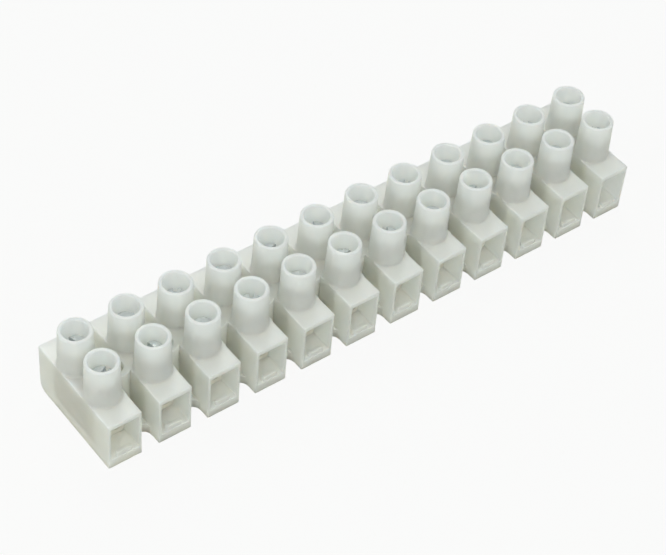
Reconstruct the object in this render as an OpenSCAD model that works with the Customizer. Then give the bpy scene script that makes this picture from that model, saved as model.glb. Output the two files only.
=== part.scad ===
// Twelve-pole terminal strip: one moulded housing, a brass insert in each pole and two
// clamping screws to each insert. The strip lies along X, wires enter along Y from the
// front (-Y) and the rear (+Y), and the screws are driven from above. The origin is at the
// centre of the underside. All sizes are in millimetres.

/* [Strip] */
// Number of poles along the strip
poles = 12; // [2:1:19]
// Distance from one pole to the next
pitch = 10; // [9:0.1:14]
// Width of one pole's block
pole_width = 6.6; // [6.2:0.1:7.4]
// Depth of the strip, from wire entry to wire entry
strip_depth = 22; // [21:0.5:30]
// Height of the blocks that hold the inserts
block_height = 10.6; // [10:0.1:13]
// Thickness of the base that joins the poles
base_thickness = 2; // [1.5:0.1:2.5]
// Radius along the rear bottom edge
rear_foot_radius = 2; // [0.5:0.1:3]
// Depth of the slots that part the base between two poles
base_slot_depth = 3.9; // [2.5:0.1:6]

/* [Wire entries] */
// Wall on each side of a wire entry
side_wall = 0.55; // [0.4:0.05:0.7]
// Wall above a wire entry
roof_thickness = 1.05; // [0.8:0.05:1.5]
// Width of the tab on the floor of each mouth
tab_width = 3; // [2:0.1:4]
// Thickness of the tab along the entry
tab_thickness = 0.8; // [0.5:0.1:1.2]
// Height of the tab above the floor of the entry
tab_height = 0.9; // [0.5:0.1:1]
// Distance of the tab behind the face of the mouth
tab_setback = 0.2; // [0:0.05:0.6]

/* [Screw towers] */
// Height of the towers above the blocks
tower_height = 8.2; // [7.5:0.1:11]
// Distance between the two towers of one pole
tower_spacing = 8.2; // [7.2:0.1:10]
// How far each side of a tower leans in from its foot to its rim
tower_draft = 0.27; // [0:0.01:0.35]
// Wall of a tower at its rim
tower_wall = 0.7; // [0.5:0.05:0.8]
// Chamfer inside the rim
rim_chamfer = 0.25; // [0.1:0.05:0.4]

/* [Fixing holes] */
// Diameter of the holes for fixing screws between the poles
fixing_hole_d = 3; // [2.4:0.1:3.4]
// Diameter of the boss around each fixing hole
fixing_boss_d = 5.4; // [4.4:0.1:6]

/* [Inserts] */
// Wall between a threaded hole and the end of its insert
insert_end_wall = 0.75; // [0.6:0.05:2.4]
// Wall on each side of the wire's way
insert_side_wall = 0.55; // [0.4:0.05:0.7]
// Wall under the wire's way
insert_floor = 1; // [0.7:0.1:1.3]
// Threaded wall above the wire's way
insert_roof = 2.1; // [1.5:0.1:2.4]
// Outer corner radius of an insert
insert_corner = 0.5; // [0.2:0.1:0.8]
// Play between an insert and the walls at its sides and above it
insert_play = 0.1; // [0.05:0.01:0.2]

/* [Screws] */
// Outside diameter of the thread
thread_d = 3; // [2.6:0.1:3.5]
// Radial play of the screw in its threaded hole
thread_play = 0.05; // [0.02:0.01:0.1]
// Radial play of the head in the tower
head_play = 0.3; // [0.15:0.01:0.32]
// Height of the head
head_height = 2; // [1.5:0.1:2.5]
// Depth of the head's top below the rim of the tower
head_depth = 3.3; // [2.5:0.1:3.8]
// Chamfer round the top of the head
head_chamfer = 0.25; // [0.1:0.05:0.4]
// Width of the driver slot
slot_width = 0.8; // [0.5:0.1:1.2]
// Depth of the driver slot
slot_depth = 1.1; // [0.6:0.1:1.3]
// Chamfer at the tip of the thread
tip_chamfer = 0.4; // [0.2:0.1:0.8]

/* [Hidden] */
$fn = 64;
cut = 1;

strip_length = (poles - 1) * pitch + pole_width;
half_depth = strip_depth / 2;
gap_width = pitch - pole_width;
rim_z = block_height + tower_height;

entry_width = pole_width - 2 * side_wall;
entry_height = block_height - roof_thickness - base_thickness;

rim_d = pole_width - 2 * tower_draft;
bore_d = rim_d - 2 * tower_wall;

thread_hole_d = thread_d + 2 * thread_play;

insert_length = tower_spacing + thread_hole_d + 2 * insert_end_wall;
insert_width = entry_width - 2 * insert_play;
insert_height = entry_height - insert_play;
way_width = insert_width - 2 * insert_side_wall;
way_height = insert_height - insert_floor - insert_roof;
way_floor_z = base_thickness + insert_floor;
way_corner = insert_corner / 2;

head_d = bore_d - 2 * head_play;
head_top_z = rim_z - head_depth;
head_under_z = head_top_z - head_height;
tip_z = way_floor_z + way_height;

rows = [["front", -1], ["rear", 1]];
turn_step = 67;
turn_between_rows = 38;

function two_digits(number) = number < 10 ? str("0", number) : str(number);
function pole_x(number) = (number - (poles + 1) / 2) * pitch;
function insert_name(number) = str("insert_", two_digits(number));
function screw_name(row, number) = str("screw_", row[0], "_", two_digits(number));
function slot_angle(row, number) = number * turn_step + row[1] * turn_between_rows;

// A rectangle centred on X that stands on Y = 0, with round corners
module rounded_rectangle(width, height, radius) {
    translate([-width / 2, radius])
        square([width, height - 2 * radius]);
    translate([-width / 2 + radius, 0])
        square([width - 2 * radius, height]);
    for (side = [-1, 1], level = [radius, height - radius])
        translate([side * (width / 2 - radius), level])
            circle(r = radius);
}

// Side view of a block, front to the left, with the rear bottom edge rounded
module block_section() {
    difference() {
        translate([-half_depth, 0])
            square([strip_depth, block_height]);
        translate([half_depth - rear_foot_radius, 0])
            difference() {
                translate([0, -cut])
                    square([rear_foot_radius + cut, rear_foot_radius + cut]);
                translate([0, rear_foot_radius])
                    circle(r = rear_foot_radius);
            }
    }
}

// Lays a drawing of the side view out along X, centred on the strip
module along_strip(length) {
    rotate([90, 0, 90])
        linear_extrude(height = length, center = true)
            children();
}

module at_gaps() {
    for (number = [1 : poles - 1])
        translate([pole_x(number) + pitch / 2, 0, 0])
            children();
}

module at_towers() {
    for (number = [1 : poles], row = rows)
        translate([pole_x(number), row[1] * tower_spacing / 2, 0])
            children();
}

// The space between two poles: open above the base, and a round-ended slot at each side of it
module gap_cut() {
    translate([-gap_width / 2, -half_depth - cut, base_thickness])
        cube([gap_width, strip_depth + 2 * cut, block_height]);
    for (row = rows)
        mirror([0, row[1] > 0 ? 1 : 0, 0]) {
            translate([-gap_width / 2, -half_depth - cut, -cut])
                cube([gap_width, base_slot_depth - gap_width / 2 + cut, base_thickness + 2 * cut]);
            translate([0, -half_depth + base_slot_depth - gap_width / 2, -cut])
                cylinder(d = gap_width, h = base_thickness + 2 * cut);
        }
}

module fixing_boss() {
    cylinder(d = fixing_boss_d, h = block_height);
}

module fixing_hole() {
    translate([0, 0, -cut])
        cylinder(d = fixing_hole_d, h = block_height + 2 * cut);
}

module tower() {
    translate([0, 0, block_height])
        cylinder(d1 = pole_width, d2 = rim_d, h = tower_height);
}

module tower_bore() {
    bore_foot_z = block_height - roof_thickness - cut;
    translate([0, 0, bore_foot_z])
        cylinder(d = bore_d, h = rim_z - bore_foot_z + cut);
    translate([0, 0, rim_z - rim_chamfer])
        cylinder(d1 = bore_d, d2 = bore_d + 2 * rim_chamfer, h = rim_chamfer);
}

module wire_entry() {
    translate([-entry_width / 2, -half_depth - cut, base_thickness])
        cube([entry_width, strip_depth + 2 * cut, entry_height]);
}

module entry_tabs() {
    for (row = rows)
        mirror([0, row[1] > 0 ? 1 : 0, 0])
            translate([-tab_width / 2, -half_depth + tab_setback, base_thickness])
                cube([tab_width, tab_thickness, tab_height]);
}

// The one-piece moulding
module housing() {
    color("#dfe5e0") {
        difference() {
            union() {
                difference() {
                    along_strip(strip_length) block_section();
                    at_gaps() gap_cut();
                }
                at_gaps() fixing_boss();
                at_towers() tower();
            }
            for (number = [1 : poles])
                translate([pole_x(number), 0, 0])
                    wire_entry();
            at_towers() tower_bore();
            at_gaps() fixing_hole();
        }
        for (number = [1 : poles])
            translate([pole_x(number), 0, 0])
                entry_tabs();
    }
}

// A tinned brass tube of rectangular section with two threaded holes
module insert() {
    color("#d0c9b2")
        difference() {
            translate([0, 0, base_thickness])
                rotate([90, 0, 0])
                    linear_extrude(height = insert_length, center = true)
                        difference() {
                            rounded_rectangle(insert_width, insert_height, insert_corner);
                            translate([0, insert_floor])
                                rounded_rectangle(way_width, way_height, way_corner);
                        }
            for (row = rows)
                translate([0, row[1] * tower_spacing / 2, tip_z - cut])
                    cylinder(d = thread_hole_d, h = insert_roof + 2 * cut);
        }
}

// A slotted cheese-head screw, turned about its own axis
module screw() {
    head_r = head_d / 2;
    thread_r = thread_d / 2;
    color("#a9adab")
        difference() {
            rotate_extrude()
                polygon([
                    [0, tip_z],
                    [thread_r - tip_chamfer, tip_z],
                    [thread_r, tip_z + tip_chamfer],
                    [thread_r, head_under_z],
                    [head_r, head_under_z],
                    [head_r, head_top_z - head_chamfer],
                    [head_r - head_chamfer, head_top_z],
                    [0, head_top_z],
                ]);
            translate([-head_d / 2 - cut, -slot_width / 2, head_top_z - slot_depth])
                cube([head_d + 2 * cut, slot_width, slot_depth + cut]);
        }
}

housing();

for (number = [1 : poles])
    translate([pole_x(number), 0, 0])
            insert();

for (row = rows, number = [1 : poles])
    translate([pole_x(number), row[1] * tower_spacing / 2, 0])
            rotate([0, 0, slot_angle(row, number)])
                screw();
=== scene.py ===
"""Terminal strip: a translucent moulded strip with plated inserts and slotted clamping screws.

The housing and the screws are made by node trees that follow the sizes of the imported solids,
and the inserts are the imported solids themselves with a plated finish.
"""

import logging
import math
from dataclasses import dataclass, field, fields
from enum import Enum
from typing import Dict, List, Optional, Sequence, Tuple, Union

import bpy
from mathutils import Matrix, Vector


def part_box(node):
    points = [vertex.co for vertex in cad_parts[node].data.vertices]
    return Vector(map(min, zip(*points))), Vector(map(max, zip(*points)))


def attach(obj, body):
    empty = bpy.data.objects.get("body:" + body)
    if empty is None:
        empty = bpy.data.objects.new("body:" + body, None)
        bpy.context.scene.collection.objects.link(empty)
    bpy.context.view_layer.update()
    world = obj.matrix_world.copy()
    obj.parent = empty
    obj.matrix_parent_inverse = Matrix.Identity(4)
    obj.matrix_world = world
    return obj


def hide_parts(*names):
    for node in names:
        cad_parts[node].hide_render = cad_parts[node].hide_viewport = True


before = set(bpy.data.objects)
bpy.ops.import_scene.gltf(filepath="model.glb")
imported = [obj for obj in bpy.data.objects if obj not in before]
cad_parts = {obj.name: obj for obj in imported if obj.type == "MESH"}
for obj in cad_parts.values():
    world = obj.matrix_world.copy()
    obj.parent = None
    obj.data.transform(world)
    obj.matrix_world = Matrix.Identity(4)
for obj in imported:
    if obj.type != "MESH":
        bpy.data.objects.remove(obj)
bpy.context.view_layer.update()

MM = 0.001
LOG = logging.getLogger("terminal_strip")
# Points nearer to each other than this are welded.
WELD = 1e-7
# A step that keeps the faces of two solids from lying in one plane.
SKIN = 0.005 * MM
# Radians that a Wave texture's rings go through in one unit of its scaled distance.
WAVE_RATE = 20.0

Span = Tuple[float, float]
Shade = Tuple[float, float, float]
Colour = Tuple[float, float, float, float]
Corners = Sequence[Tuple["Value", "Value"]]
Sockets = Sequence[Tuple[str, "SocketKind"]]
Inputs = Dict[Union[str, int], object]

DAYLIGHT: Shade = (0.91, 0.968, 1.0)
WHITE: Colour = (1.0, 1.0, 1.0, 1.0)


class SocketKind(Enum):
    """The kinds of socket that the trees' interfaces use."""

    LENGTH = "NodeSocketFloat"
    COUNT = "NodeSocketInt"
    VECTOR = "NodeSocketVector"
    COLOUR = "NodeSocketColor"
    GEOMETRY = "NodeSocketGeometry"
    MATERIAL = "NodeSocketMaterial"


class Row(Enum):
    """The two rows of screws, with the side of the strip that each is on."""

    FRONT = -1
    REAR = 1

    @property
    def label(self) -> str:
        """The row's name in the names of its screws."""
        return self.name.lower()


class Field:
    """An output socket that adds and multiplies like a number."""

    def __init__(self, tree: "Wiring", socket: bpy.types.NodeSocket) -> None:
        """Keeps the socket and the tree that new nodes go into."""
        self.tree = tree
        self.socket = socket

    def __add__(self, other: "Value") -> "Field":
        """Sum of two values."""
        return self.tree.math("ADD", self, other)

    def __sub__(self, other: "Value") -> "Field":
        """Difference of two values."""
        return self.tree.math("SUBTRACT", self, other)

    def __rsub__(self, other: "Value") -> "Field":
        """Difference of two values, the number first."""
        return self.tree.math("SUBTRACT", other, self)

    def __mul__(self, other: "Value") -> "Field":
        """Product of two values."""
        return self.tree.math("MULTIPLY", self, other)

    def __truediv__(self, other: "Value") -> "Field":
        """Quotient of two values."""
        return self.tree.math("DIVIDE", self, other)

    def __rtruediv__(self, other: "Value") -> "Field":
        """Quotient of two values, the number first."""
        return self.tree.math("DIVIDE", other, self)

    def __neg__(self) -> "Field":
        """The value with its sign changed."""
        return self.tree.math("MULTIPLY", self, -1.0)


Value = Union[int, float, Field]


class Wiring:
    """Adds nodes to one tree and links them."""

    def __init__(self, tree: bpy.types.NodeTree) -> None:
        """Keeps the tree."""
        self.tree = tree

    def feed(self, socket: bpy.types.NodeSocket, value: object) -> None:
        """Links a field to a socket, or sets the socket's own value.

        Args:
            socket: The input socket.
            value: A field, a list of fields for a socket that takes several, or a plain value.
        """
        if isinstance(value, Field):
            self.tree.links.new(value.socket, socket)
        elif isinstance(value, list):
            for one in value:
                self.tree.links.new(one.socket, socket)
        else:
            socket.default_value = value

    def add(self, kind: str, inputs: Optional[Inputs] = None, **settings: object) -> bpy.types.Node:
        """Adds a node.

        Args:
            kind: The node's type.
            inputs: What goes into its sockets, by name or number.
            **settings: Properties of the node.

        Returns:
            The node.
        """
        node = self.tree.nodes.new(kind)
        for name, value in settings.items():
            setattr(node, name, value)
        for key, value in (inputs or {}).items():
            self.feed(node.inputs[key], value)
        return node

    def out(self, node: bpy.types.Node, key: Union[str, int] = 0) -> Field:
        """One output of a node as a field."""
        return Field(self, node.outputs[key])

    def made(self, kind: str, inputs: Optional[Inputs] = None, **settings: object) -> Field:
        """The first output of a new node."""
        return self.out(self.add(kind, inputs, **settings))

    def math(self, operation: str, *values: Value) -> Field:
        """Result of a Math node."""
        return self.made("ShaderNodeMath", dict(enumerate(values)), operation=operation)

    def vector(self, x: Value, y: Value, z: Value) -> Field:
        """A vector from its three parts."""
        return self.made("ShaderNodeCombineXYZ", {0: x, 1: y, 2: z})

    def split(self, vector: Field) -> Tuple[Field, Field, Field]:
        """The three parts of a vector."""
        node = self.add("ShaderNodeSeparateXYZ", {0: vector})
        return self.out(node, 0), self.out(node, 1), self.out(node, 2)


class Group(Wiring):
    """A node group with named inputs and outputs."""

    def __init__(self, kind: str, name: str, inputs: Sockets, outputs: Sockets) -> None:
        """Makes the group and its sockets.

        Args:
            kind: The type of its tree.
            name: The group's name.
            inputs: Name and kind of each input.
            outputs: Name and kind of each output.
        """
        super().__init__(bpy.data.node_groups.new(name, kind))
        for way, sockets in (("INPUT", inputs), ("OUTPUT", outputs)):
            for label, socket in sockets:
                self.tree.interface.new_socket(name=label, in_out=way, socket_type=socket.value)
        self.entry = self.add("NodeGroupInput")
        self.exit = self.add("NodeGroupOutput")

    def __getitem__(self, name: str) -> Field:
        """The group's input of that name."""
        return self.out(self.entry, name)

    def close(self, **results: Field) -> bpy.types.NodeTree:
        """Links the results and finishes the group.

        Args:
            **results: A field for each output, by its name.

        Returns:
            The finished tree.
        """
        for name, value in results.items():
            self.feed(self.exit.inputs[name], value)
        return self.tree


class GeometryGroup(Group):
    """A geometry node tree with named inputs and one mesh, and the steps that it is built from."""

    def __init__(self, name: str, inputs: Sockets) -> None:
        """Makes the tree, with those inputs and the mesh that it gives."""
        super().__init__("GeometryNodeTree", name, inputs, [("Mesh", SocketKind.GEOMETRY)])

    def position(self) -> Field:
        """Where each point is."""
        return self.made("GeometryNodeInputPosition")

    def by_number(self, kind: str, values: Sequence[Value]) -> Field:
        """Gives each point the value that stands at its number in a list.

        Args:
            kind: "VECTOR" or "FLOAT".
            values: One value for each point.

        Returns:
            The field.
        """
        node = self.add("GeometryNodeIndexSwitch", data_type=kind)
        while len(node.index_switch_items) < len(values):
            node.index_switch_items.new()
        self.feed(node.inputs["Index"], self.made("GeometryNodeInputIndex"))
        for number, value in enumerate(values):
            self.feed(node.inputs[str(number)], value)
        return self.out(node)

    def outline(self, corners: Corners, radii: Sequence[Value], closed: bool, steps: Value) -> Field:
        """Draws a line through corners and rounds each corner by its own radius.

        Args:
            corners: The corners, across and up.
            radii: A radius for each corner.
            closed: Whether the line ends where it starts.
            steps: Pieces of each rounded corner.

        Returns:
            The line as a curve.
        """
        line = self.made("GeometryNodeMeshLine", {"Count": len(corners)})
        places = self.by_number("VECTOR", [self.vector(across, up, 0.0) for across, up in corners])
        placed = self.made("GeometryNodeSetPosition", {"Geometry": line, "Position": places})
        curve = self.made("GeometryNodeMeshToCurve", {"Mesh": placed})
        if closed:
            curve = self.made("GeometryNodeSetSplineCyclic", {"Geometry": curve, "Cyclic": True})
        rounding = self.by_number("FLOAT", radii)
        inputs = {"Curve": curve, "Count": steps, "Radius": rounding, "Limit Radius": True}
        return self.made("GeometryNodeFilletCurve", inputs, mode="POLY")

    def rectangle(
        self, width: Value, low: Value, high: Value, radii: Sequence[Value], steps: Value
    ) -> Field:
        """A closed upright rectangle about the middle, its corners counted from the left foot."""
        half = width * 0.5
        return self.outline([(-half, low), (half, low), (half, high), (-half, high)], radii, True, steps)

    def shape(self, tree: bpy.types.NodeTree, inputs: Dict[str, object]) -> Field:
        """The mesh that another tree makes from these inputs."""
        return self.made("GeometryNodeGroup", inputs, node_tree=tree)

    def moved(self, mesh: Field, turn: object, place: object = (0.0, 0.0, 0.0)) -> Field:
        """A mesh turned and then moved."""
        inputs = {"Geometry": mesh, "Translation": place, "Rotation": turn}
        return self.made("GeometryNodeTransform", inputs)

    def repeated(self, mesh: Field, count: Value, start: Field, step: Field) -> Field:
        """Copies of a mesh in a straight row."""
        row = self.made("GeometryNodeMeshLine", {"Count": count, "Start Location": start, "Offset": step})
        return self.made("GeometryNodeInstanceOnPoints", {"Points": row, "Instance": mesh})

    def combined(self, operation: str, inputs: Inputs) -> Field:
        """Result of a Mesh Boolean node."""
        return self.made("GeometryNodeMeshBoolean", inputs, operation=operation, solver="MANIFOLD")

    def joined(self, meshes: Sequence[Field]) -> Field:
        """One solid from several that meet."""
        return self.combined("UNION", {"Mesh 2": list(meshes)})

    def shared(self, meshes: Sequence[Field]) -> Field:
        """What several solids have in common."""
        return self.combined("INTERSECT", {"Mesh 2": list(meshes)})

    def cut(self, mesh: Field, tools: Sequence[Field]) -> Field:
        """A solid with others taken out of it."""
        return self.combined("DIFFERENCE", {"Mesh 1": mesh, "Mesh 2": list(tools)})

    def dressed(self, mesh: Field, material: Field) -> Field:
        """Adds the last nodes of a piece's tree.

        Args:
            mesh: The piece's mesh or instances.
            material: Its material.

        Returns:
            The mesh made real, smooth and with its material.
        """
        real = self.made("GeometryNodeRealizeInstances", {"Geometry": mesh})
        smooth = self.made("GeometryNodeSetShadeSmooth", {"Geometry": real, "Shade Smooth": True})
        return self.made("GeometryNodeSetMaterial", {"Geometry": smooth, "Material": material})

    def net(self, rows: Value, columns: Value) -> Tuple[Field, Field, Field]:
        """Makes a net of points to be laid over a shape.

        Args:
            rows: Points one way.
            columns: Points the other way.

        Returns:
            The net, and each point's row and column from 0 to 1.
        """
        size = {"Size X": 1.0, "Size Y": 1.0, "Vertices X": rows, "Vertices Y": columns}
        x, y, _ = self.split(self.position())
        return self.made("GeometryNodeMeshGrid", size), x + 0.5, y + 0.5

    def laid(self, net: Field, place: Field) -> Field:
        """Lays a net over a shape.

        Args:
            net: The net.
            place: Where each of its points goes.

        Returns:
            The mesh, facing outwards, with the points that meet welded.
        """
        mesh = self.made("GeometryNodeSetPosition", {"Geometry": net, "Position": place})
        outward = self.made("GeometryNodeFlipFaces", {"Mesh": mesh})
        return self.made("GeometryNodeMergeByDistance", {"Geometry": outward, "Distance": WELD})

    def around_axis(self, radius: Field, share: Field, height: Field) -> Field:
        """Where points lie about Z, at a share of the full turn."""
        angle = share * math.tau
        return self.vector(radius * self.math("COSINE", angle), radius * self.math("SINE", angle), height)

    def points_of(self, curve: Field) -> Field:
        """How many points a curve has."""
        size = self.add("GeometryNodeAttributeDomainSize", {"Geometry": curve}, component="CURVE")
        return self.out(size, "Point Count")

    def sampled(self, curve: Field, value: Field, number: Value) -> Field:
        """A vector value of a curve's point, looked up by the point's number."""
        inputs = {"Geometry": curve, "Value": value, "Index": number}
        return self.made("GeometryNodeSampleIndex", inputs, data_type="FLOAT_VECTOR", domain="POINT")


class Shapes:
    """The two trees that every moulded and turned form here is made with."""

    END_STEPS = 4

    def __init__(self) -> None:
        """Builds both trees."""
        self.turned = self.turned_tree()
        self.prism = self.prism_tree()

    def turned_tree(self) -> bpy.types.NodeTree:
        """Builds a solid of revolution about Z from an open outline whose ends are on the axis.

        Returns:
            The tree.
        """
        inputs = [("Outline", SocketKind.GEOMETRY), ("Segments", SocketKind.COUNT)]
        group = GeometryGroup("turned_solid", inputs)
        count = group.points_of(group["Outline"])
        net, along, around = group.net(count, group["Segments"] + 1)
        number = group.math("ROUND", along * (count - 1))
        radius, height, _ = group.split(group.sampled(group["Outline"], group.position(), number))
        return group.close(Mesh=group.laid(net, group.around_axis(radius, around, height)))

    def prism_tree(self) -> bpy.types.NodeTree:
        """Builds a prism along X from a closed outline.

        Its ends are rounded or, with a radius below zero, flared.

        Returns:
            The tree.
        """
        steps = self.END_STEPS
        inputs = [("Outline", SocketKind.GEOMETRY)]
        inputs += [(name, SocketKind.LENGTH) for name in ("Length", "End Radius")]
        group = GeometryGroup("rounded_prism", inputs)
        outline = group["Outline"]
        count = group.points_of(outline)
        rows = 2 * (steps + 2)
        net, along, around = group.net(rows, count + 1)
        number = group.math("MODULO", group.math("ROUND", around * count), count)
        across, up, _ = group.split(group.sampled(outline, group.position(), number))
        tangent = group.made("GeometryNodeInputTangent")
        forward, rise, _ = group.split(group.sampled(outline, tangent, number))
        # Rows count from the middle outwards: straight, round the end, then the middle of the end face.
        row = group.math("ROUND", group.math("ABSOLUTE", along * 2.0 - 1.0) * (rows - 1) * 0.5 - 0.5)
        side = group.math("SIGN", along - 0.5)
        angle = group.math("MINIMUM", row / steps, 1.0) * (math.pi / 2)
        radius = group["End Radius"]
        reach = group.math("ABSOLUTE", radius)
        end = group["Length"] * 0.5 - reach + reach * group.math("SINE", angle)
        inset = radius * (1.0 - group.math("COSINE", angle))
        open_end = group.math("LESS_THAN", row, steps + 0.5)
        mean = group.add(
            "GeometryNodeAttributeStatistic", {"Geometry": outline, "Attribute": group.position()},
            data_type="FLOAT_VECTOR", domain="POINT",
        )
        middle_across, middle_up, _ = group.split(group.out(mean, "Mean"))
        out_across = middle_across + open_end * (across - rise * inset - middle_across)
        out_up = middle_up + open_end * (up + forward * inset - middle_up)
        return group.close(Mesh=group.laid(net, group.vector(side * end, out_across, out_up)))


def baked(holder: bpy.types.Object) -> bpy.types.Mesh:
    """Turns what an object's modifiers make into a plain mesh and removes the modifiers.

    Args:
        holder: The object.

    Returns:
        The new mesh.
    """
    graph = bpy.context.evaluated_depsgraph_get()
    shown = holder.evaluated_get(graph)
    mesh = bpy.data.meshes.new_from_object(shown, preserve_all_data_layers=True, depsgraph=graph)
    holder.modifiers.clear()
    return mesh


def grow(name: str, tree: bpy.types.NodeTree, inputs: Dict[str, object]) -> bpy.types.Object:
    """Runs a tree and keeps its result as a plain mesh object.

    Args:
        name: Name of the new piece.
        tree: The tree to run.
        inputs: Values for the tree's inputs, by name.

    Returns:
        The piece, with no modifier left on it.
    """
    holder = bpy.data.objects.new(name + "_blank", bpy.data.meshes.new(name + "_blank"))
    bpy.context.scene.collection.objects.link(holder)
    modifier = holder.modifiers.new("shape", "NODES")
    modifier.node_group = tree
    for item in tree.interface.items_tree:
        if item.item_type == "SOCKET" and item.in_out == "INPUT":
            modifier[item.identifier] = inputs[item.name]
    holder.update_tag()
    mesh = baked(holder)
    bpy.data.objects.remove(holder)
    mesh.name = name
    piece = bpy.data.objects.new(name, mesh)
    bpy.context.scene.collection.objects.link(piece)
    return piece


def crisp(piece: bpy.types.Object, angle: float) -> None:
    """Keeps edges sharp above an angle, and flat faces flat beside rounded edges.

    Args:
        piece: The object whose mesh is shaded.
        angle: The angle in degrees.
    """
    piece.data.set_sharp_from_angle(angle=math.radians(angle))
    modifier = piece.modifiers.new("flat_faces", "WEIGHTED_NORMAL")
    modifier.mode = "FACE_AREA"
    modifier.keep_sharp = True
    rough = piece.data
    piece.data = baked(piece)
    bpy.data.meshes.remove(rough)
    piece.data.name = piece.name


@dataclass
class TreePiece:
    """A kind of piece that a tree makes.

    Its floats are lengths in metres, and COUNTS names the whole numbers that its tree takes.
    """

    shapes: Shapes

    COUNTS = ()

    def values(self) -> Dict[str, float]:
        """The sizes that the tree takes, by name."""
        lengths = [one.name for one in fields(self) if one.type is float]
        return {name: getattr(self, name) for name in (*lengths, *self.COUNTS)}

    def start(self, name: str, others: Sockets) -> GeometryGroup:
        """Makes the tree, with an input for each size.

        Args:
            name: The tree's name.
            others: Name and kind of its other inputs.

        Returns:
            The tree, still empty.
        """
        lengths = [(one, SocketKind.LENGTH) for one in self.values() if one not in self.COUNTS]
        counts = [(one, SocketKind.COUNT) for one in self.COUNTS]
        self.group = GeometryGroup(name, [*lengths, *counts, *others])
        return self.group

    def __getitem__(self, name: str) -> Field:
        """The tree's input of that name."""
        return self.group[name]

    def turned(self, corners: Corners, radii: Sequence[Value], steps: Value, segments: Value) -> Field:
        """A solid turned about Z from an open outline."""
        outline = self.group.outline(corners, radii, False, steps)
        return self.group.shape(self.shapes.turned, {"Outline": outline, "Segments": segments})

    def prism(self, outline: Field, length: Value, end_radius: Value) -> Field:
        """A closed outline drawn out along X."""
        inputs = {"Outline": outline, "Length": length, "End Radius": end_radius}
        return self.group.shape(self.shapes.prism, inputs)


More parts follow.
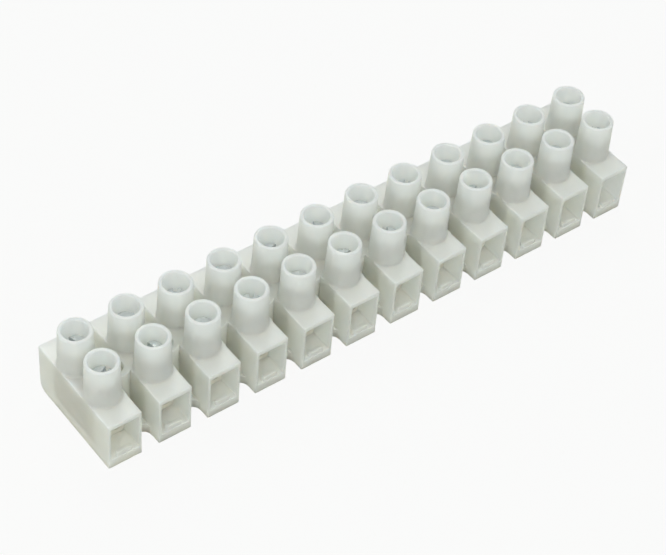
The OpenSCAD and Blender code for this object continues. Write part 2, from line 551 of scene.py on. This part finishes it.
@dataclass
class Housing(TreePiece):
    """The one-piece moulding: blocks, screw towers, webs and bosses."""

    poles: int = 12
    pitch: float = 10.0 * MM
    pole_width: float = 6.6 * MM
    strip_depth: float = 22.0 * MM
    block_height: float = 10.6 * MM
    base_thickness: float = 2.0 * MM
    rear_foot_radius: float = 2.0 * MM
    slot_depth: float = 3.9 * MM
    side_wall: float = 0.55 * MM
    roof_thickness: float = 1.05 * MM
    tab_width: float = 3.0 * MM
    tab_thickness: float = 0.8 * MM
    tab_height: float = 0.9 * MM
    tab_setback: float = 0.2 * MM
    tower_height: float = 8.2 * MM
    tower_spacing: float = 8.2 * MM
    tower_draft: float = 0.27 * MM
    tower_wall: float = 0.7 * MM
    hole_diameter: float = 3.0 * MM
    boss_diameter: float = 5.4 * MM
    edge_radius: float = 0.24 * MM
    web_edge_radius: float = 0.12 * MM
    mouth_radius: float = 0.16 * MM
    rim_radius: float = 0.28 * MM
    foot_radius: float = 0.35 * MM
    bite: float = 0.4 * MM
    segments: int = 48
    edge_steps: int = 4
    rim_steps: int = 5
    block_steps: int = 8
    slot_steps: int = 10
    body: str = "strip"
    node: str = "housing"

    COUNTS = ("poles", "segments", "edge_steps", "rim_steps", "block_steps", "slot_steps")
    SHARP_ANGLE = 38.0

    def tree(self) -> bpy.types.NodeTree:
        """Builds the tree of the whole moulding.

        Returns:
            The tree, with an input for each size.
        """
        group = self.start("pole_strip", [("finish", SocketKind.MATERIAL)])
        solid = group.joined([
            self.along_poles(self.block()),
            self.along_towers(self.tower()),
            self.along_towers(self.tower_foot()),
            self.along_gaps(self.web()),
            self.along_gaps(self.boss()),
        ])
        bored = group.cut(solid, [
            self.along_poles(self.entry()),
            self.along_towers(self.tower_bore()),
            self.along_gaps(self.fixing_hole()),
        ])
        whole = group.joined([bored, *(self.tabs(row) for row in Row)])
        return group.close(Mesh=group.dressed(whole, self["finish"]))

    def in_row(self, mesh: Field, count: Value, y: Value) -> Field:
        """Copies of a mesh at one pitch, centred on the strip."""
        start = self.group.vector((count - 1) * self["pitch"] * -0.5, y, 0.0)
        return self.group.repeated(mesh, count, start, self.group.vector(self["pitch"], 0.0, 0.0))

    def along_poles(self, mesh: Field) -> Field:
        """A copy for each pole."""
        return self.in_row(mesh, self["poles"], 0.0)

    def along_gaps(self, mesh: Field) -> Field:
        """A copy for each gap between two poles."""
        return self.in_row(mesh, self["poles"] - 1, 0.0)

    def along_towers(self, mesh: Field) -> Field:
        """A copy for each tower of both rows."""
        rows = [self.in_row(mesh, self["poles"], self["tower_spacing"] * (row.value / 2)) for row in Row]
        return self.group.made("GeometryNodeJoinGeometry", {"Geometry": rows})

    def block(self) -> Field:
        """Makes a pole's block with rounded edges and a rounder foot at the rear.

        Returns:
            The solid at the strip's centre.
        """
        edge = self["edge_radius"]
        radii = [edge, self["rear_foot_radius"], edge, edge]
        depth, height = self["strip_depth"], self["block_height"]
        section = self.group.rectangle(depth, 0.0, height, radii, self["block_steps"])
        return self.prism(section, self["pole_width"], edge)

    def tower(self) -> Field:
        """Makes a tower's outside, which leans in towards a rounded rim.

        Returns:
            The solid about Z, its foot inside the block.
        """
        foot_z = self["block_height"] - self["bite"]
        rim_z = self["block_height"] + self["tower_height"]
        foot = self["pole_width"] * 0.5 - SKIN
        rim = foot - self["tower_draft"]
        corners = [(0.0, foot_z), (foot, foot_z), (rim, rim_z), (0.0, rim_z)]
        radii = [0.0, 0.0, self["rim_radius"], 0.0]
        return self.turned(corners, radii, self["rim_steps"], self["segments"])

    def tower_foot(self) -> Field:
        """Makes the hollow rounding between a tower and its block, kept within the block's sides.

        Returns:
            The solid about Z.
        """
        soft = self["foot_radius"]
        reach = soft * 2.0
        foot_z = self["block_height"] - self["bite"]
        top = self["block_height"] - SKIN
        above = top + reach
        foot = self["pole_width"] * 0.5 - SKIN
        clear = foot + reach
        neck = foot - self["tower_draft"] * reach / self["tower_height"]
        skirt = self.turned(
            [(0.0, foot_z), (clear, foot_z), (clear, top), (foot, top), (neck, above), (0.0, above)],
            [0.0, 0.0, 0.0, soft, 0.0, 0.0], self["rim_steps"], self["segments"],
        )
        size = self.group.vector(foot * 2.0, clear * 4.0, self["strip_depth"] * 2.0)
        room = self.group.made("GeometryNodeMeshCube", {"Size": size})
        return self.group.shared([skirt, room])

    def bore(self, radius: Value, low: Value, high: Value, round_edge: Value) -> Field:
        """Makes a round hole whose upper edge is rounded.

        Args:
            radius: Radius of the hole.
            low: Height at which the hole starts.
            high: Height of the face that it comes out of.
            round_edge: Radius of the rounded edge.

        Returns:
            The solid about Z that is taken out.
        """
        top = high + SKIN
        clear = radius + round_edge * 2.0
        above = top + self["bite"]
        return self.turned(
            [(0.0, low), (radius, low), (radius, top), (clear, top), (clear, above), (0.0, above)],
            [0.0, 0.0, round_edge, 0.0, 0.0, 0.0], self["rim_steps"], self["segments"],
        )

    def tower_bore(self) -> Field:
        """Makes the hole from a tower's rim down into the wire entry.

        Returns:
            The solid about Z that is taken out.
        """
        radius = self["pole_width"] * 0.5 - self["tower_draft"] - self["tower_wall"]
        low = self["block_height"] - self["roof_thickness"] - self["bite"]
        high = self["block_height"] + self["tower_height"]
        return self.bore(radius, low, high, self["rim_radius"])

    def web(self) -> Field:
        """Makes the base between two poles, with a round-ended slot at the front and the rear.

        Returns:
            The solid at the strip's centre.
        """
        half_gap = (self["pitch"] - self["pole_width"]) * 0.5
        root = half_gap + self["bite"]
        mouth = self["strip_depth"] * 0.5 - self["slot_depth"] + half_gap
        bottom = mouth - half_gap
        slot = half_gap - SKIN
        lip = [(mouth, -root), (mouth, -slot)]
        lip += [(bottom, -slot), (bottom, slot), (mouth, slot), (mouth, root)]
        corners = lip + [(-along, -across) for along, across in lip]
        radii = [0.0, 0.0, slot, slot, 0.0, 0.0] * 2
        plan = self.group.outline(corners, radii, True, self["slot_steps"])
        thick = self["base_thickness"]
        upright = self.prism(plan, thick, self["web_edge_radius"])
        return self.group.moved(upright, (0.0, math.pi / 2, 0.0), self.group.vector(0.0, 0.0, thick * 0.5))

    def boss(self) -> Field:
        """Makes the round boss in a gap, just under the tops of the blocks.

        Returns:
            The solid about Z.
        """
        radius = self["boss_diameter"] * 0.5
        low = self["base_thickness"] - self["bite"]
        high = self["block_height"] - SKIN
        corners = [(0.0, low), (radius, low), (radius, high), (0.0, high)]
        radii = [0.0, 0.0, self["edge_radius"], 0.0]
        return self.turned(corners, radii, self["edge_steps"], self["segments"])

    def fixing_hole(self) -> Field:
        """The hole for a fixing screw, right through boss and base."""
        high = self["block_height"] - SKIN
        return self.bore(self["hole_diameter"] * 0.5, -self["bite"], high, self["edge_radius"])

    def entry(self) -> Field:
        """Makes the wire entry through a block, flared a little at its two mouths.

        Returns:
            The solid at the strip's centre that is taken out.
        """
        corner = self["mouth_radius"]
        width = self["pole_width"] - self["side_wall"] * 2.0
        floor = self["base_thickness"]
        roof = self["block_height"] - self["roof_thickness"]
        section = self.group.rectangle(width, floor, roof, [corner] * 4, self["edge_steps"])
        way = self.prism(section, self["strip_depth"] + 2.0 * SKIN, -corner)
        return self.group.moved(way, (0.0, 0.0, math.pi / 2))

    def tabs(self, row: Row) -> Field:
        """Makes the tabs on the floors of the mouths.

        Args:
            row: The row that the mouths are in.

        Returns:
            A tab for each pole.
        """
        edge = self["mouth_radius"]
        low = self["base_thickness"] - self["bite"]
        high = self["base_thickness"] + self["tab_height"]
        thick = self["tab_thickness"]
        section = self.group.rectangle(thick, low, high, [edge] * 4, self["edge_steps"])
        tab = self.prism(section, self["tab_width"], edge)
        middle = self["strip_depth"] * 0.5 - self["tab_setback"] - thick * 0.5
        return self.in_row(tab, self["poles"], middle * row.value)

    def build(self, finish: bpy.types.Material) -> bpy.types.Object:
        """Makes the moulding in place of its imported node.

        Args:
            finish: The moulding's material.

        Returns:
            The piece.
        """
        piece = grow("strip_housing", self.tree(), dict(self.values(), finish=finish))
        crisp(piece, self.SHARP_ANGLE)
        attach(piece, self.body)
        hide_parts(self.node)
        return piece


@dataclass
class Screws(TreePiece):
    """The slotted clamping screws, with cut threads and rounded heads. Turns are in degrees."""

    poles: int = 12
    thread_radius: float = 1.5 * MM
    thread_depth: float = 0.27 * MM
    thread_pitch: float = 0.5 * MM
    tip_taper: float = 0.4 * MM
    head_height: float = 2.0 * MM
    head_round: float = 0.28 * MM
    head_under_round: float = 0.112 * MM
    slot_width: float = 0.8 * MM
    slot_depth: float = 1.1 * MM
    slot_corner: float = 0.06 * MM
    turn_step: int = 67
    turn_between_rows: int = 38
    head_segments: int = 48
    head_steps: int = 5
    slot_steps: int = 2
    thread_segments: int = 28
    thread_rows: int = 98

    COUNTS = ("head_segments", "head_steps", "slot_steps", "thread_segments", "thread_rows")
    SHARP_ANGLE = 32.0

    def tree(self) -> bpy.types.NodeTree:
        """Builds the tree of one screw.

        Returns:
            The tree, with inputs for its sizes, its heights, its turn and its place.
        """
        others = [(name, SocketKind.LENGTH) for name in ("head_radius", "tip_z", "top_z", "turn")]
        others += [("place", SocketKind.VECTOR), ("finish", SocketKind.MATERIAL)]
        group = self.start("clamping_screw", others)
        whole = group.joined([self.head(), self.thread()])
        slotted = group.cut(whole, [self.slot()])
        marked = group.made(
            "GeometryNodeStoreNamedAttribute",
            {"Geometry": slotted, "Name": "screw_place", "Value": group.position()},
            data_type="FLOAT_VECTOR", domain="POINT",
        )
        turned = group.moved(marked, group.vector(0.0, 0.0, self["turn"]), self["place"])
        return group.close(Mesh=group.dressed(turned, self["finish"]))

    def head(self) -> Field:
        """Makes the head, rounded at its top edge and a little at its lower one.

        Returns:
            The solid about Z.
        """
        low = self["top_z"] - self["head_height"]
        high = self["top_z"]
        radius = self["head_radius"]
        corners = [(0.0, low), (radius, low), (radius, high), (0.0, high)]
        radii = [0.0, self["head_under_round"], self["head_round"], 0.0]
        return self.turned(corners, radii, self["head_steps"], self["head_segments"])

    def thread(self) -> Field:
        """Makes the shank with its thread, closed at the tip and up inside the head.

        Returns:
            The solid about Z.
        """
        group = self.group
        rows = self["thread_rows"]
        net, along, around = group.net(rows, self["thread_segments"] + 1)
        length = self["top_z"] - self["head_height"] * 0.5 - self["tip_z"]
        # The first and the last row close the ends, so they lie at the height of the rows beside them.
        row = group.math("ROUND", along * (rows - 1))
        last = rows - 2
        inner = group.math("MINIMUM", group.math("MAXIMUM", row, 1.0), last)
        rise = length * (inner - 1.0) / (last - 1.0)
        less_than_a_row = 0.1
        open_row = group.math("COMPARE", row, inner, less_than_a_row)
        wave = group.math("PINGPONG", rise / self["thread_pitch"] - around, 0.5) * 2.0
        taper = group.math("MAXIMUM", self["tip_taper"] - rise, 0.0)
        radius = open_row * (self["thread_radius"] - taper - self["thread_depth"] * wave)
        return group.laid(net, group.around_axis(radius, around, self["tip_z"] + rise))

    def slot(self) -> Field:
        """Makes the driver slot that is cut across the head.

        Returns:
            The solid that is taken out.
        """
        low = self["top_z"] - self["slot_depth"]
        high = self["top_z"] + self["slot_depth"]
        corner = self["slot_corner"]
        section = self.group.rectangle(self["slot_width"], low, high, [corner] * 4, self["slot_steps"])
        return self.prism(section, self["head_radius"] * 2.0 + self["slot_depth"], corner)

    def build(self, finish: bpy.types.Material) -> List[bpy.types.Object]:
        """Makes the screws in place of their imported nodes.

        Args:
            finish: The screws' material.

        Returns:
            The pieces, the front row first.
        """
        tree = self.tree()
        pieces = []
        for row in Row:
            for number in range(1, self.poles + 1):
                node = f"screw_{row.label}_{number:02d}"
                low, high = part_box(node)
                inputs = dict(
                    self.values(), head_radius=(high.x - low.x) / 2, tip_z=low.z, top_z=high.z,
                    turn=math.radians(number * self.turn_step + row.value * self.turn_between_rows),
                    place=((low.x + high.x) / 2, (low.y + high.y) / 2, 0.0), finish=finish,
                )
                piece = grow(f"clamp_screw_{row.label}_{number:02d}", tree, inputs)
                crisp(piece, self.SHARP_ANGLE)
                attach(piece, node + "_body")
                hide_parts(node)
                pieces.append(piece)
        return pieces


@dataclass
class Inserts:
    """The brass tubes in the poles, which stay as packed and get their plated finish."""

    poles: int = 12

    def dress(self, finish: bpy.types.Material) -> List[bpy.types.Object]:
        """Gives every insert its material.

        Args:
            finish: The inserts' material.

        Returns:
            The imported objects.
        """
        pieces = []
        for number in range(1, self.poles + 1):
            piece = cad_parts[f"insert_{number:02d}"]
            piece.data.materials.clear()
            piece.data.materials.append(finish)
            pieces.append(piece)
        return pieces


class ShaderGroup(Group):
    """A shader node group with named inputs and outputs."""

    def __init__(self, name: str, inputs: Sockets, outputs: Sockets) -> None:
        """Makes the group and its sockets."""
        super().__init__("ShaderNodeTree", name, inputs, outputs)

    def noise(self, scale: Value, detail: float) -> Field:
        """Smooth noise between 0 and 1 at the group's place."""
        inputs = {"Vector": self["Place"], "Scale": scale, "Detail": detail}
        return self.made("ShaderNodeTexNoise", inputs)


class Effects:
    """The shader groups that more than one finish uses."""

    PATCH_RANGE = (0.32, 0.68)
    PATCH_DETAIL = 3.0
    WEAR_RANGE = (0.3, 0.7)
    GRAIN_DETAIL = 2.0
    GRAINS_IN_WEAR = 0.12

    def __init__(self) -> None:
        """Builds the groups."""
        self.mottle = self.mottle_group()
        self.grain = self.grain_group()

    def mottle_group(self) -> bpy.types.NodeTree:
        """Builds soft uneven colour, as in a cloudy moulding or a handled plating.

        Returns:
            The group.
        """
        inputs = [("Place", SocketKind.VECTOR), ("Size", SocketKind.LENGTH)]
        inputs += [(name, SocketKind.COLOUR) for name in ("Light", "Dark")]
        group = ShaderGroup("mottle", inputs, [("Colour", SocketKind.COLOUR)])
        noise = group.noise(1.0 / group["Size"], self.PATCH_DETAIL)
        low, high = self.PATCH_RANGE
        share = group.made("ShaderNodeMapRange", {"Value": noise, "From Min": low, "From Max": high})
        shades = {"Factor": share, "A": group["Light"], "B": group["Dark"]}
        mix = group.add("ShaderNodeMix", shades, data_type="RGBA")
        return group.close(Colour=group.out(mix, "Result"))

    def grain_group(self) -> bpy.types.NodeTree:
        """Builds fine uneven gloss and height, as a tool leaves them.

        Returns:
            The group.
        """
        inputs = [("Place", SocketKind.VECTOR)]
        inputs += [(name, SocketKind.LENGTH) for name in ("Size", "Low", "High")]
        outputs = [(name, SocketKind.LENGTH) for name in ("Roughness", "Height")]
        group = ShaderGroup("grain", inputs, outputs)
        fine = group.noise(1.0 / group["Size"], self.GRAIN_DETAIL)
        broad = group.noise(self.GRAINS_IN_WEAR / group["Size"], self.GRAIN_DETAIL)
        low, high = self.WEAR_RANGE
        spread = {"From Min": low, "From Max": high, "To Min": group["Low"], "To Max": group["High"]}
        worn = group.made("ShaderNodeMapRange", {"Value": broad, **spread})
        return group.close(Roughness=worn, Height=fine)


class MaterialTree(Wiring):
    """A new material's tree with its shader and the coordinates that its patterns read."""

    def __init__(self, name: str) -> None:
        """Makes the material with a bare Principled BSDF.

        Args:
            name: The material's name.
        """
        self.material = bpy.data.materials.new(name)
        self.material.use_nodes = True
        super().__init__(self.material.node_tree)
        self.shader = self.tree.nodes["Principled BSDF"]
        self.place = self.out(self.add("ShaderNodeTexCoord"), "Object")


@dataclass(frozen=True)
class Finish:
    """What the finishes share: two shades in soft patches, a grain in the gloss, and a fine relief."""

    name: str
    light: Colour
    dark: Colour
    patch_size: float
    grain_size: float
    gloss: Span
    relief_strength: float
    relief_depth: float

    def make(self, effects: Effects) -> bpy.types.Material:
        """Builds the material.

        Args:
            effects: The shared shader groups.

        Returns:
            The material.
        """
        tree = MaterialTree(self.name)
        low, high = self.gloss
        grains = {"Place": self.grain_place(tree), "Size": self.grain_size, "Low": low, "High": high}
        grain = tree.add("ShaderNodeGroup", grains, node_tree=effects.grain)
        relief = self.relief(tree, tree.out(grain, "Height"))
        patches = {"Place": tree.place, "Size": self.patch_size, "Light": self.light, "Dark": self.dark}
        mottle = tree.add("ShaderNodeGroup", patches, node_tree=effects.mottle)
        bump = {"Height": relief, "Strength": self.relief_strength, "Distance": self.relief_depth}
        values = {
            "Base Color": tree.out(mottle, "Colour"),
            "Roughness": tree.out(grain, "Roughness"),
            "Normal": tree.made("ShaderNodeBump", bump),
            **self.constants(),
        }
        for name, value in values.items():
            tree.feed(tree.shader.inputs[name], value)
        return tree.material

    def grain_place(self, tree: MaterialTree) -> Field:
        """The coordinates that the grain follows."""
        return tree.place

    def relief(self, tree: MaterialTree, height: Field) -> Field:
        """The height of the surface, which is that of the grain unless a finish adds to it."""
        return height

    def constants(self) -> Dict[str, object]:
        """The shader's inputs that are the same all over: here those of a metal."""
        return {"Metallic": 1.0}


@dataclass(frozen=True)
class MouldedPlastic(Finish):
    """Natural polyethylene: cloudy, deep to light and faintly grained by the mould."""

    name: str = "natural_polyethylene"
    light: Colour = (0.978, 0.985, 0.935, 1.0)
    dark: Colour = (0.964, 0.972, 0.908, 1.0)
    patch_size: float = 4.0 * MM
    grain_size: float = 0.16 * MM
    gloss: Span = (0.34, 0.46)
    relief_strength: float = 0.12
    relief_depth: float = 0.02 * MM
    depth: float = 7.0 * MM
    depth_by_colour: Shade = (0.87, 0.95, 1.0)
    forward: float = 0.6
    clear: float = 0.25
    ior: float = 1.5

    def constants(self) -> Dict[str, object]:
        """Deep scatter, and a share of the light that passes on."""
        return {
            "Subsurface Weight": 1.0,
            "Subsurface Radius": self.depth_by_colour,
            "Subsurface Scale": self.depth,
            "Subsurface Anisotropy": self.forward,
            "Transmission Weight": self.clear,
            "IOR": self.ior,
        }


@dataclass(frozen=True)
class PlatedSteel(Finish):
    """Zinc-plated steel, with rings from the lathe about each screw's own axis."""

    name: str = "plated_steel"
    light: Colour = (0.70, 0.72, 0.72, 1.0)
    dark: Colour = (0.57, 0.59, 0.59, 1.0)
    patch_size: float = 1.1 * MM
    grain_size: float = 0.08 * MM
    gloss: Span = (0.26, 0.42)
    relief_strength: float = 0.18
    relief_depth: float = 0.006 * MM
    ring_pitch: float = 0.754 * MM
    ring_waver: float = 0.4

    def relief(self, tree: MaterialTree, height: Field) -> Field:
        """Adds the rings to the grain.

        Args:
            tree: The material's tree.
            height: The grain's height.

        Returns:
            The height of both.
        """
        local = tree.out(tree.add("ShaderNodeAttribute", attribute_name="screw_place"), "Vector")
        scale = math.tau / (WAVE_RATE * self.ring_pitch)
        rings = tree.add(
            "ShaderNodeTexWave",
            {"Vector": local, "Scale": scale, "Distortion": self.ring_waver, "Detail": 1.0},
            wave_type="RINGS", rings_direction="Z",
        )
        return tree.out(rings, "Fac") + height


@dataclass(frozen=True)
class PlatedBrass(Finish):
    """Thinly tinned brass, drawn along the wire's way, with the brass showing through in places."""

    name: str = "tinned_brass"
    light: Colour = (0.95, 0.93, 0.88, 1.0)
    dark: Colour = (0.90, 0.87, 0.79, 1.0)
    patch_size: float = 2.2 * MM
    grain_size: float = 0.1 * MM
    gloss: Span = (0.4, 0.6)
    relief_strength: float = 0.25
    relief_depth: float = 0.01 * MM
    draw_stretch: float = 0.06

    def grain_place(self, tree: MaterialTree) -> Field:
        """Coordinates that draw the grain out along the wire's way."""
        along_way = (1.0, self.draw_stretch, 1.0)
        return tree.made("ShaderNodeMapping", {"Vector": tree.place, "Scale": along_way})


@dataclass(frozen=True)
class Softbox:
    """A square area light that looks at the strip."""

    name: str
    place: Tuple[float, float, float]
    width: float
    power: float
    colour: Shade = DAYLIGHT

    def hang(self, target: Vector) -> None:
        """Puts the light up, turned to a point.

        Args:
            target: The point that it looks at.
        """
        lamp = bpy.data.lights.new(self.name, "AREA")
        lamp.shape = "SQUARE"
        lamp.size = self.width
        lamp.energy = self.power
        lamp.color = self.colour
        light = bpy.data.objects.new(self.name, lamp)
        light.location = self.place
        light.rotation_euler = (target - Vector(self.place)).to_track_quat("-Z", "Y").to_euler()
        bpy.context.scene.collection.objects.link(light)


@dataclass
class Studio:
    """Camera, floor, backdrop and lights. Lengths are in metres, turns in degrees and the lens in mm."""

    aim: Vector = field(default_factory=lambda: Vector((-0.002505, 0.001077, 0.004187)))
    distance: float = 0.363043
    azimuth: float = -40.9986
    elevation: float = 45.5842
    roll: float = 5.5351
    lens: float = 107.95
    sensor_width: float = 36.0
    nearest: float = 0.01
    bounces: int = 32
    floor_half: float = 3.0
    floor_white: float = 0.9
    floor_colour: Colour = (0.55, 0.55, 0.48, 1.0)
    floor_glow: Colour = (1.0, 1.0, 0.78, 1.0)
    sky_colour: Colour = (*DAYLIGHT, 1.0)
    sky_strength: float = 0.62
    softboxes: Tuple[Softbox, ...] = (
        Softbox("rear_softbox", (0.36, 0.80, 1.05), 0.5, 3.6),
        Softbox("front_softbox", (-0.6, -0.7, 1.05), 0.6, 9.0),
        Softbox("left_softbox", (-1.3, 0.25, 0.4), 0.8, 3.2),
    )

    def camera(self) -> None:
        """Places the camera and makes it the scene's own."""
        azimuth, elevation, roll = (math.radians(a) for a in (self.azimuth, self.elevation, self.roll))
        level = Vector((math.cos(azimuth), math.sin(azimuth), 0.0))
        away = Vector((math.sin(azimuth), -math.cos(azimuth), 0.0))
        back = away * math.cos(elevation) + Vector((0.0, 0.0, math.sin(elevation)))
        rise = back.cross(level)
        right = level * math.cos(roll) + rise * math.sin(roll)
        up = rise * math.cos(roll) - level * math.sin(roll)
        turn = Matrix((right, up, back)).transposed().to_4x4()
        lens = bpy.data.cameras.new("photo_camera")
        lens.lens = self.lens
        lens.sensor_width = self.sensor_width
        lens.clip_start = self.nearest
        camera = bpy.data.objects.new("photo_camera", lens)
        camera.matrix_world = Matrix.Translation(self.aim + back * self.distance) @ turn
        bpy.context.scene.collection.objects.link(camera)
        bpy.context.scene.camera = camera

    def shown(self, tree: Wiring) -> Field:
        """Tells where the backdrop is seen: straight, in a reflection or through something clear.

        Args:
            tree: The tree of the backdrop or the floor.

        Returns:
            One where it is seen, and otherwise zero.
        """
        path = tree.add("ShaderNodeLightPath")
        seen = tree.math("MAXIMUM", tree.out(path, "Is Camera Ray"), tree.out(path, "Is Glossy Ray"))
        return tree.math("MAXIMUM", seen, tree.out(path, "Is Transmission Ray"))

    def backdrop(self) -> None:
        """Makes the world: white where it is seen, and a softer light on the strip."""
        world = bpy.data.worlds.new("white_backdrop")
        world.use_nodes = True
        bpy.context.scene.world = world
        tree = Wiring(world.node_tree)
        tree.tree.nodes.clear()
        sky = {"Color": self.sky_colour, "Strength": self.sky_strength}
        light = tree.made("ShaderNodeBackground", sky)
        white = tree.made("ShaderNodeBackground", {"Color": WHITE, "Strength": 1.0})
        mixed = tree.made("ShaderNodeMixShader", {0: self.shown(tree), 1: light, 2: white})
        tree.add("ShaderNodeOutputWorld", {"Surface": mixed})

    def floor(self) -> None:
        """Lays the pale floor, which shows white, keeps a faint shadow and glows warmly under the strip."""
        half = self.floor_half
        mesh = bpy.data.meshes.new("studio_floor")
        corners = [(-half, -half, 0.0), (half, -half, 0.0), (half, half, 0.0), (-half, half, 0.0)]
        mesh.from_pydata(corners, [], [(0, 1, 2, 3)])
        floor = bpy.data.objects.new("studio_floor", mesh)
        bpy.context.scene.collection.objects.link(floor)
        material = bpy.data.materials.new("pale_floor")
        material.use_nodes = True
        tree = Wiring(material.node_tree)
        tree.tree.nodes.clear()
        paint = tree.made("ShaderNodeBsdfDiffuse", {"Color": self.floor_colour})
        direct = tree.out(tree.add("ShaderNodeLightPath"), "Is Camera Ray")
        whites = {"Factor": direct, "A": self.floor_glow, "B": WHITE}
        colour = tree.out(tree.add("ShaderNodeMix", whites, data_type="RGBA"), "Result")
        white = tree.made("ShaderNodeEmission", {"Color": colour, "Strength": 1.0})
        share = self.shown(tree) * self.floor_white
        mixed = tree.made("ShaderNodeMixShader", {0: share, 1: paint, 2: white})
        tree.add("ShaderNodeOutputMaterial", {"Surface": mixed})
        mesh.materials.append(material)

    def build(self) -> None:
        """Sets up everything around the strip."""
        self.camera()
        self.backdrop()
        self.floor()
        for softbox in self.softboxes:
            softbox.hang(self.aim)
        scene = bpy.context.scene
        scene.view_settings.view_transform = "Standard"
        for kind in ("max", "diffuse", "glossy", "transmission"):
            setattr(scene.cycles, kind + "_bounces", self.bounces)


def main() -> None:
    """Builds the strip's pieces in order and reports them."""
    logging.basicConfig(level=logging.INFO, format="%(message)s")
    Studio().build()
    effects = Effects()
    shapes = Shapes()
    plastic = MouldedPlastic().make(effects)
    steel = PlatedSteel().make(effects)
    brass = PlatedBrass().make(effects)
    pieces = [Housing(shapes).build(plastic)]
    pieces += Screws(shapes).build(steel)
    pieces += Inserts().dress(brass)
    for piece in pieces:
        LOG.info("%s: %d faces", piece.name, len(piece.data.polygons))


if __name__ == "__main__":
    main()
